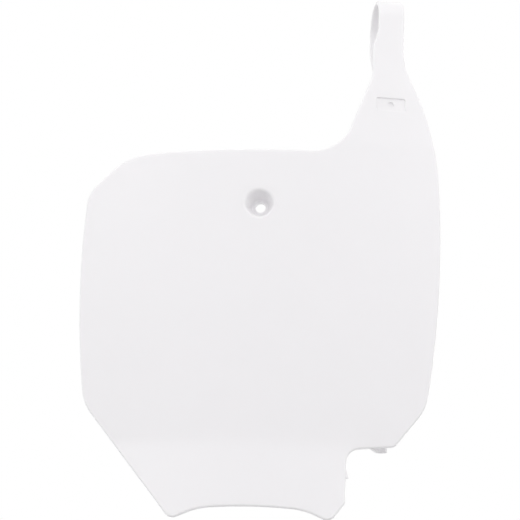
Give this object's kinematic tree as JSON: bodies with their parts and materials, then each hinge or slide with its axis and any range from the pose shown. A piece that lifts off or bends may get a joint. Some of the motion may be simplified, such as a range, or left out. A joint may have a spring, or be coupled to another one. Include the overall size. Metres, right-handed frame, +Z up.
{
  "type": "racing number board",
  "caption": "Bowed moulded plate that carries a rider's race number, with a dished bolt hole, a strap that wraps over the handlebar, a hose hook and a cut-out below.",
  "frame": {"origin": "centre of the fixing bore on its flat rear seat", "axes": "+Z up along the board, -Y out of the front face along the fixing bore, +X to the right as seen from the front"},
  "size_m": [0.2344, 0.0607, 0.3638],
  "materials": {
    "white_plastic": "satin moulded"
  },
  "bodies": {
    "root": {"number_board": "white_plastic"}
  },
  "joints": []
}
